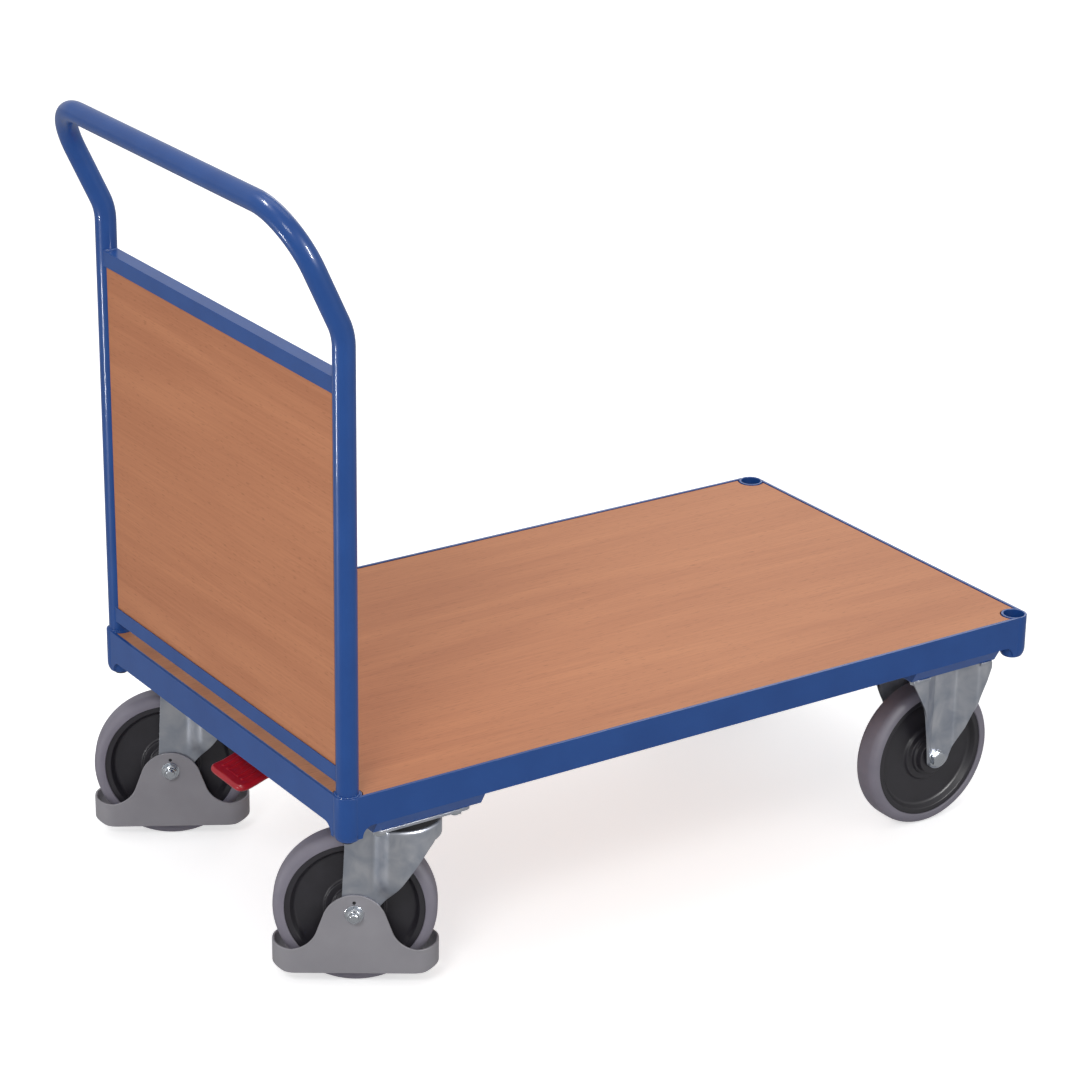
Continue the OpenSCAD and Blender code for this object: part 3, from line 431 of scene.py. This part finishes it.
def rounded(corners, radii, steps=6):
    """A closed outline with each corner replaced by an arc: it leaves each side radius / tan(half the
    corner's angle) before the corner."""
    p = np.asarray(corners, float)
    r = np.asarray(radii, float)[:, None]
    back, ahead = np.roll(p, 1, 0) - p, np.roll(p, -1, 0) - p
    back /= np.linalg.norm(back, axis=1, keepdims=True)
    ahead /= np.linalg.norm(ahead, axis=1, keepdims=True)
    half = np.arccos(np.clip((back * ahead).sum(1, keepdims=True), -1, 1)) / 2
    run = r / np.tan(half)
    s = np.linspace(0, 1, steps)[None, :, None]
    a, b, c = (p + back * run)[:, None], p[:, None], (p + ahead * run)[:, None]
    w = np.sin(half)[:, None]
    bottom = (1 - s) ** 2 + 2 * w * s * (1 - s) + s**2
    return (((1 - s) ** 2 * a + 2 * w * s * (1 - s) * b + s**2 * c) / bottom).reshape(-1, p.shape[1])


def wheel_frame(end, side):
    """A wheel's centre and its rolling direction: straight ahead in front, towards the kingpin behind."""
    centre = middle(f"{end}_{side}_rim")
    if end == "front":
        return centre, np.array([1.0, 0.0])
    ahead = middle("kingpin_" + side)[:2] - centre[:2]
    return centre, ahead / np.linalg.norm(ahead)


def placed(points, centre, ahead):
    """Points of a caster's own frame, along its rolling direction, to its left and up, moved to its place."""
    u, v, z = np.moveaxis(np.asarray(points, float), -1, 0)
    return np.stack([centre[0] + u * ahead[0] - v * ahead[1], centre[1] + u * ahead[1] + v * ahead[0],
                     centre[2] + z], -1)


def wheel_part(name, profile, end, side, material, node):
    """A closed profile of (radius, place along the axle) turned about a wheel's axle."""
    points, faces = turned(profile, 144)
    centre, ahead = wheel_frame(end, side)
    piece(name, placed(points[..., [0, 2, 1]], centre, ahead), faces, material, f"{end}_{side}_wheel", node,
          crease=50)


tyre_profile = rounded([(rim_r, -tyre_half + 0.8), (rim_r + 0.8, -tyre_half), (wheel_r, -tyre_half),
                        (wheel_r, tyre_half), (rim_r + 0.8, tyre_half), (rim_r, tyre_half - 0.8)],
                       [0.3, 0.6, shoulder, shoulder, 0.6, 0.3], 12)
rim_half = [(23.0, hub_half), (24.0, 18.0), (27.0, 17.0), (28.0, 13.0), (36.0, 13.0), (38.0, 9.0),
            (73.5, 9.0), (78.5, 17.0), (rim_r, 17.0)]
rim_round = [1.2, 1.0, 0.8, 1.5, 1.2, 3.0, 5.0, 1.4, 0.5]
far_half = [(r, -a) for r, a in rim_half[::-1]]
rim_profile = rounded([(hub_bore, hub_half), *rim_half, *far_half, (hub_bore, -hub_half)],
                      [0.4, *rim_round, *rim_round[::-1], 0.4], 7)


def refinished(node, material):
    """A CAD solid that keeps its own shape and takes another material."""
    slots = frame["nodes"][node].data.materials
    slots.clear()
    slots.append(material)


for end in ("front", "rear"):
    for side in ("left", "right"):
        wheel_part(f"{end}_{side}_tyre_moulded", tyre_profile, end, side, rubber, f"{end}_{side}_tyre")
        wheel_part(f"{end}_{side}_rim_moulded", rim_profile, end, side, rim_plastic, f"{end}_{side}_rim")
        refinished(f"{end}_{side}_bearing", bush_plastic)

# Caster forks, plates and pins: pressed steel sheet, bright zinc plated. Metallic and a little cloudy,
# with a faint blue and straw tint and fine drawing marks.
zinc, tree, surface = finish("bright zinc plate", "zinc_plate", "#b4b7bd", 0.36, Metallic=1.0)
cloud = pattern(tree, 26, detail=4, Distortion=0.6)
toned(tree, surface, cloud, "#9ea4b0", "#b9bbc1", 0.32, 0.68)
rough = add(tree, "ShaderNodeMapRange", {"Value": cloud, "To Min": 0.30, "To Max": 0.46})
tree.links.new(rough.outputs[0], surface.inputs["Roughness"])
grained(tree, surface, 2.0, 0.02, (1, 1, 8), 3.0)
plate_low = 230.95
for node in ("fixed_fork_left", "fixed_fork_right"):
    softened(node, 1.2, zinc, above_mm=plate_low)


def pressed(name, points, faces, wall, round_mm, material, body, *nodes):
    """A sheet piece: its outer face given in millimetres, its wall grown inwards, its edges rounded."""
    made = dressed(name, merged(name, points, faces, 0.005), material, body, nodes, 60)
    thick = made.modifiers.new("sheet", "SOLIDIFY")
    thick.thickness, thick.offset, thick.use_even_offset = wall / 1000, -1, True
    edge = made.modifiers.new("rounded edges", "BEVEL")
    edge.width, edge.segments, edge.limit_method, edge.angle_limit = round_mm / 1000, 3, "ANGLE", radians(50)
    edge.harden_normals = True
    return made


axle_z, fork_top, fork_sheet, trail, crown_r, leg_out = 100.0, 119.0, 3.0, 55.0, 50.0, 29.5
ramp_end, top_bend, foot_r = 46.0, 4.0, 18.0
slant_u, slant_z = (0, 33, 92, 94.5, 97, 105), (-32.4, 12.0, 91.4, 93.5, 97.5, 97.5)
foot_back, foot_front, head_back, head_front = -16.4, 17.5, -9.9, 22.0
flare_from, flare_over = 8.0, 40.0


def swivel_fork_face():
    """Outer face of half a swivel fork, from the axle. Round the plan s runs along the flat leg, an S-shaped
    ramp out to the crown, and the crown's arc to the front; t runs from the bottom edge up the wall, round
    the top bend and across the roof to the middle line. Low down the wall is flat, and it flares out to
    the plan's shape by an S-shaped share of the height."""
    leg, ramp = np.linspace(0, 1, 16), np.linspace(0, 1, 18)[1:]
    wide = np.sqrt(crown_r**2 - (ramp_end - trail) ** 2)
    around = np.linspace(np.arccos((ramp_end - trail) / crown_r), 0, 36)[1:]
    crown_u = trail + crown_r * np.cos(around)
    foot_u = np.concatenate([foot_back + leg * (foot_front - foot_back),
                             foot_front + ramp * (ramp_end - foot_front), crown_u])
    head_u = np.concatenate([head_back + leg * (head_front - head_back),
                             head_front + ramp * (ramp_end - head_front), crown_u])
    out = np.concatenate([leg_out + 0 * leg, leg_out + (wide - leg_out) * ramp**2 * (3 - 2 * ramp),
                          crown_r * np.sin(around)])
    round_foot = -np.sqrt(np.clip(foot_r**2 - foot_u**2, 0, None))
    slant = np.interp(foot_u, slant_u, slant_z)
    foot_z = np.maximum(np.where(np.abs(foot_u) < foot_r, round_foot, -99), slant)
    foot_z = np.where(foot_u < 0, round_foot, foot_z)
    inward = np.stack([np.gradient(out, head_u + 1e-9 * np.arange(len(out))), 0 * out - 1], -1)
    inward = inward / np.linalg.norm(inward, axis=1, keepdims=True)
    to_kingpin = np.stack([trail - crown_u, -crown_r * np.sin(around)], -1) / crown_r
    inward = np.concatenate([inward[: len(leg) + len(ramp)], to_kingpin])
    rise = np.linspace(0, 1, 22)[None, :]
    z = foot_z[:, None] + rise * (fork_top - top_bend - foot_z[:, None])
    share = (z - foot_z[:, None]) / (fork_top - foot_z[:, None])
    flare = np.clip((z - flare_from) / flare_over, 0, 1)
    spread = leg_out + (out - leg_out)[:, None] * flare**2 * (3 - 2 * flare)
    wall = np.stack([foot_u[:, None] + share * (head_u - foot_u)[:, None], spread, z], -1)
    bend = np.radians(np.linspace(0, 90, 7)[1:])[None, :]
    slide = top_bend * (1 - np.cos(bend))[..., None] * inward[:, None]
    rim = np.concatenate([np.stack([head_u, out], -1)[:, None] + slide,
                          (fork_top - top_bend + top_bend * np.sin(bend) + 0 * out[:, None])[..., None]], -1)
    spine_u = np.where(head_u > trail, trail + 0.5 * (head_u - trail), head_u)
    spine = np.stack([spine_u, 0 * out, fork_top + 0 * out], -1)
    over = np.linspace(0, 1, 5)[1:][None, :, None]
    roof = rim[:, -1:] * (1 - over) + spine[:, None] * over
    return np.concatenate([wall, rim, roof], 1)


def fixed_fork_face():
    """Outer face of one side of a fixed fork, from the axle. In plan it follows a wing, a ramp in to the flat
    panel, and a ramp out to the other wing, averaged over 4 mm so that the bends are round. Each column
    rises from the outline, a round foot between two slanted edges, and turns in at the plate."""
    high, foot, foot_u, foot_z = 134.5, 18.5, 4.0, 2.5
    outline = ([(-64.0, 130.0), (-57.0, 117.0), (-43.0, 90.0), (-34.0, 66.0), (-22.0, 30.0), (-14.2, 0.0)],
               [(21.9, -1.5), (28.5, 12.5), (38.0, 39.0), (44.5, 64.0), (54.0, 87.0), (63.0, 106.0),
                (69.0, 123.0)])
    round_u = foot_u - foot * np.cos(np.radians(np.linspace(12, 166, 30)))
    u = np.concatenate([np.linspace(-64, -38, 12), np.linspace(-38, round_u[0], 22)[1:-1], round_u,
                        np.linspace(round_u[-1], 47, 26)[1:-1], np.linspace(47, 69, 12)])
    round_z = foot_z - np.sqrt(np.clip(foot**2 - (u - foot_u) ** 2, 0, None))
    edges = np.where(u < 0, np.interp(u, *zip(*outline[0])), np.interp(u, *zip(*outline[1])))
    low = np.where((u >= round_u[0]) & (u <= round_u[-1]), round_z, edges)
    spread = u[:, None] + np.linspace(-2, 2, 9)[None, :]
    wing_out, wing_back, panel_back, panel_front, wing_front = leg_out + 22, -38.0, -9.7, 28.0, 47.0
    v = np.interp(spread, (wing_back, panel_back, panel_front, wing_front),
                  (wing_out, leg_out, leg_out, wing_out)).mean(1)
    rise = np.linspace(0, 1, 26)[None, :]
    z = low[:, None] + rise * (high - top_bend - low[:, None])
    wall = np.stack([u[:, None] + 0 * z, v[:, None] + 0 * z, z], -1)
    bend = np.radians(np.linspace(0, 90, 7)[1:])[None, :]
    rim = np.stack([u[:, None] + 0 * bend, v[:, None] - top_bend * (1 - np.cos(bend)),
                    high - top_bend + top_bend * np.sin(bend) + 0 * v[:, None]], -1)
    return np.concatenate([wall, rim], 1)


def both_sides(face):
    """A fork's half and its mirror image across the wheel, whose quads run the other way round."""
    points, quads = face.reshape(-1, 3), woven(*face.shape[:2])
    return (np.concatenate([points, points * (1, -1, 1)]),
            np.concatenate([quads, quads[:, ::-1] + len(points)]))


points, quads = both_sides(fixed_fork_face())
for side in ("left", "right"):
    centre, ahead = wheel_frame("front", side)
    pressed("fixed_fork_legs_" + side, placed(points, centre, ahead), quads, fork_sheet, 0.7, zinc, "frame",
            "fixed_fork_" + side)

points, quads = both_sides(swivel_fork_face())
for side in ("left", "right"):
    centre, ahead = wheel_frame("rear", side)
    pressed("swivel_fork_pressed_" + side, placed(points, centre, ahead), quads, fork_sheet, 0.7, zinc,
            f"rear_{side}_caster", "swivel_fork_" + side)

# Race rings: painted shade, a black ring that fills the dark gap of each swivel race round its balls.
black_rubber_and_race_shade, tree, surface = finish("black rubber and painted race shade", "bearing_plastic", "#18181b", 0.6,
                                    Specular_IOR_Level=0.3)
grained(tree, surface, 1.5, 0.03)
for side in ("left", "right"):
    outline = [(24, 119.1), (46, 119.1), (48.5, 120.5), (48.5, 129), (46, 130.8), (24, 130.8)]
    points, faces = turned(rounded(outline, [0.3, 1.0, 1.2, 1.2, 1.0, 0.3], 5))
    centre, ahead = wheel_frame("rear", side)
    piece("race_shade_ring_" + side, placed(points + (trail, 0, 0), centre, ahead), faces, black_rubber_and_race_shade,
          f"rear_{side}_caster")

# Caster plates, kingpins and the brake's levers: thick zinc plated steel with small rounded edges.
for node in ("swivel_plate_left", "swivel_plate_right", "kingpin_left", "kingpin_right", "brake_shaft",
             "brake_cams", "pedal_arm", "brake_plunger_left", "brake_plunger_right"):
    softened(node, 0.5, zinc)

# Screws, bolts, nuts, sleeves and balls: turned or rolled steel, bright zinc plated, shinier than sheet.
bright, tree, surface = finish("zinc plated fastener", "zinc_fasteners", "#c2c6cc", 0.22, Metallic=1.0)
grained(tree, surface, 1.2, 0.02)
for node in ("caster_plate_bolts", "caster_plate_nuts", "board_screws"):
    softened(node, 0.5, bright)


def hexagonal(low, high, across=16.0, hole=0.0, steps=72):
    """Rings of a chamfered hexagon along its axis: the flats lie across / 2 / cos(turn from the nearest
    flat's middle) out, and the corners fall away at 30 degrees outside the round face."""
    turn = np.linspace(0, 2 * np.pi, steps, endpoint=False)[:, None]
    rim = across / 2 / np.cos((turn + np.pi / 6) % (np.pi / 3) - np.pi / 6)
    face = across / 2 * 0.93
    drop = (rim - face) * np.tan(radians(30))
    radius = np.concatenate([hole + 0 * rim, face + 0 * rim, rim, rim, face + 0 * rim, hole + 0 * rim], 1)
    bottom, top = low + 0 * rim, high + 0 * rim
    height = np.concatenate([bottom, bottom, low + drop, high - drop, top, top], 1)
    return np.stack([radius * np.cos(turn), radius * np.sin(turn), height], -1), woven(steps, 6, True, True)


def lathe(*profile, steps=72):
    """A turned profile of (radius, height) points."""
    return turned(np.array(profile, float), steps)


def joined(*shapes):
    """Several shapes of points and faces as one."""
    starts = np.cumsum([0] + [len(p.reshape(-1, 3)) for p, _ in shapes])
    return (np.concatenate([p.reshape(-1, 3) for p, _ in shapes]),
            np.concatenate([f + start for (_, f), start in zip(shapes, starts)]))


def on_axle(shape, centre, ahead, way):
    """A shape along z laid on a wheel's axle, pointing to the wheel's left (1) or right (-1)."""
    points, faces = shape
    x, y, z = np.moveaxis(points, -1, 0)
    return placed(np.stack([x * way, z * way, y], -1), centre, ahead), faces


washer_r, washer_t, across_flats = 11.8, 1.7, 18.4


def washer(seat):
    """A washer on its seat, with small chamfers on its rim."""
    return lathe((4.5, seat), (washer_r - 0.4, seat), (washer_r, seat + 0.4),
                 (washer_r, seat + washer_t - 0.4), (washer_r - 0.4, seat + washer_t), (4.5, seat + washer_t))


def bolt_head(seat):
    """A hexagon head on a washer."""
    return joined(washer(seat), hexagonal(seat + washer_t, seat + 8.4, across_flats, hole=0.01))


def lock_nut(seat):
    """Washer, nut with a round collar for its nylon ring, and the bolt's threaded tip."""
    thread = [(5.6 - 0.5 * (i % 2), seat + 9.4 + 0.6 * i) for i in range(4)]
    return joined(washer(seat), hexagonal(seat + washer_t, seat + 7.8, across_flats, hole=5.6),
                  lathe((5.6, seat + 7.5), (8.4, seat + 7.5), (8.4, seat + 8.9), (7.6, seat + 10.0),
                        (6.4, seat + 10.2), (5.6, seat + 9.9)),
                  lathe((0.01, seat + 5), (5.6, seat + 5), *thread, (5.1, seat + 12.1), (4.4, seat + 12.7),
                        (0.01, seat + 12.7)))


heads, nuts = [], []
for side in ("left", "right"):
    centre, ahead = wheel_frame("front", side)
    heads.append(on_axle(bolt_head(leg_out), centre, ahead, -1))
    nuts.append(on_axle(lock_nut(leg_out), centre, ahead, 1))
piece("fixed_axle_bolt_heads", *joined(*heads), bright, "frame", "fixed_axle_bolts")
piece("fixed_axle_lock_nuts", *joined(*nuts), bright, "frame", "fixed_axle_nuts")
guard_seat = 32.5
for side in ("left", "right"):
    centre, ahead = wheel_frame("rear", side)
    piece("axle_bolt_head_" + side, *on_axle(bolt_head(guard_seat), centre, ahead, 1), bright,
          f"rear_{side}_caster", "axle_bolt_" + side)
    piece("axle_lock_nut_" + side, *on_axle(lock_nut(guard_seat), centre, ahead, -1), bright,
          f"rear_{side}_caster", "axle_nut_" + side)
for node in ("fixed_axle_sleeves", "axle_sleeve_left", "axle_sleeve_right", "swivel_balls_left",
             "swivel_balls_right"):
    refinished(node, bright)

# Foot guards: grey moulded polyamide rings round the lower wheel, held by the axle nuts. Satin, with a
# fine eroded grain and soft edges.
guard_grey, tree, surface = finish("grey moulded polyamide", "guard_grey", "#87858b", 0.5)
toned(tree, surface, pattern(tree, 50, detail=3), "#918f95", "#99979d")
grained(tree, surface, 0.9, 0.02, detail=2)
guard_half, guard_wide, guard_corner, guard_low, guard_end, guard_side = 101.5, 32.5, 30.0, 19.0, 52.0, 51.0
eye_r, hollow_r, end_from, end_lift, guard_wall, eye_up = 40.0, 36.0, 82.0, 4.0, 3.0, 15.0


def guard_ring():
    """Outer face of a foot guard, from the wheel's middle at the floor. Round a rectangle with round corners,
    the top edge follows an arc over the axle, the line that touches both arcs, a wide hollow arc, and a
    slow rise to the ends; the bottom edge rises a little at the ends."""
    eye, hollow = np.array([0.0, 85.0]), np.array([80.0, 87.0])
    tip = np.arccos((eye_r + hollow_r) / np.linalg.norm(hollow - eye)) * 180 / np.pi
    over = np.concatenate([arc(eye, eye_r, 90, tip, 16), arc(hollow, hollow_r, 180 + tip, 262, 16)])
    turn = np.radians(np.linspace(0, 90, 26))
    side_u = over[over[:, 0] < guard_half - guard_corner - 0.5, 0]
    corner_u = guard_half - guard_corner + guard_corner * np.sin(turn)
    corner_v = guard_wide - guard_corner + guard_corner * np.cos(turn)
    end_v = np.linspace(guard_wide - guard_corner, 0, 4)[1:]
    u = np.concatenate([side_u, corner_u, guard_half + 0 * end_v])
    v = np.concatenate([guard_wide + 0 * side_u, corner_v, end_v])
    rise = np.clip((u - end_from) / (guard_half - end_from), 0, 1)
    rise = rise**2 * (3 - 2 * rise)
    top = np.where(u < 75, np.interp(u, over[:, 0], over[:, 1]), guard_side)
    top = top + (guard_end - guard_side) * rise
    bottom = guard_low + end_lift * rise
    quarter = np.stack([u, v, bottom, top], -1)
    loop = np.concatenate([quarter, quarter[-2::-1] * (1, -1, 1, 1), quarter[1:] * (-1, -1, 1, 1),
                           quarter[-2:0:-1] * (-1, 1, 1, 1)])
    height = np.linspace(0, 1, 18)[None, :]
    z = loop[:, 2:3] + height * (loop[:, 3:4] - loop[:, 2:3])
    return np.stack([loop[:, :1] + 0 * z, loop[:, 1:2] + 0 * z, z - axle_z], -1)


ring = guard_ring()
for side in ("left", "right"):
    centre, ahead = wheel_frame("rear", side)
    pressed("foot_guard_moulded_" + side, placed(ring, centre, ahead), woven(*ring.shape[:2], True, False),
            guard_wall, 1.1, guard_grey, f"rear_{side}_caster", "foot_guard_" + side)
    eye = lathe((0.01, 32.0), (2.2, 32.0), (2.2, 32.6), (1.9, 32.7), (0.01, 32.7), steps=32)
    points, faces = on_axle(eye, centre, ahead, -1)
    piece("guard_eye_" + side, points + (0, 0, eye_up), faces, black_rubber_and_race_shade, f"rear_{side}_caster")

# Brake pedal: a thick red moulded foot plate on the arm's end, with raised bars against slipping.
pedal_red, tree, surface = finish("red moulded plastic", "pedal_red", "#a5101f", 0.32, Specular_IOR_Level=0.4)
toned(tree, surface, pattern(tree, 25, detail=3), "#b01526", "#c01a2c")
grained(tree, surface, 1.0, 0.02)
pedal_low, pedal_high = (np.array(corner) * 1000 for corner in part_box("brake_pedal"))
pedal_l, pedal_half, pedal_t = pedal_high[0] - pedal_low[0], (pedal_high[1] - pedal_low[1]) / 2, 9.0
bar_apart, bar_half, bar_slope, bar_end, bar_high = 12.0, 2.6, 1.2, 17.0, 1.0


def pedal_skin():
    """Closed skin of the pedal. Rings shrink from its outline, where the 7th powers of x and y over their
    half sizes add up to 1, to the middle on top and below, and a half round joins them. Its middle face
    rises forwards in an S. On top stand five bars, each a smooth step in the distance from its centre
    line."""
    turn = np.linspace(0, 2 * np.pi, 180, endpoint=False)
    power = 2 / 7
    c, s = np.cos(turn), np.sin(turn)
    shape = np.stack([np.sign(c) * np.abs(c) ** power * (pedal_l / 2),
                      np.sign(s) * np.abs(s) ** power * pedal_half], -1)
    nose = pedal_t / 2
    flat = np.linspace(0, 1, 44)
    bend = np.radians(np.linspace(90, -90, 12)[1:-1])
    scale = np.concatenate([flat, 1 + 0 * bend, flat[::-1]])
    outward = np.concatenate([-nose + 0 * flat, -nose * (1 - np.cos(bend)), -nose + 0 * flat])
    height = np.concatenate([nose + 0 * flat, nose * np.sin(bend), -nose + 0 * flat])
    length = np.linalg.norm(shape, axis=1, keepdims=True)
    plan = (shape[:, None] * scale[None, :, None]
            + (shape / length)[:, None] * (outward * scale)[None, :, None])
    x, y = plan[..., 0], plan[..., 1]
    along = np.clip(x / pedal_l + 0.5, 0, 1)
    step = np.clip((along - 0.25) / 0.55, 0, 1)
    rise = pedal_high[2] - pedal_low[2] - pedal_t - 1.2
    middle_z = pedal_low[2] + nose + 0.1 + rise * (0.55 * along + 0.45 * step**2 * (3 - 2 * step))
    off_bar = np.abs((y + 30) % bar_apart - bar_apart / 2)
    barred = (np.abs(y) < 29) & (np.abs(x) < bar_end)
    bars = np.where(barred, np.clip((bar_half - off_bar) / bar_slope, 0, 1), 0)
    bars *= np.clip((bar_end - np.abs(x)) / bar_slope, 0, 1)
    top = (np.arange(len(scale)) < len(flat))[None, :]
    return np.stack([x, y, middle_z + height[None, :] + np.where(top, bar_high * bars, 0)], -1)


skin = pedal_skin() + ((pedal_low + pedal_high) / 2 * (1, 1, 0))
piece("brake_pedal_moulded", skin, woven(*skin.shape[:2], True, False), pedal_red, "brake_lever",
      "brake_pedal", crease=60)
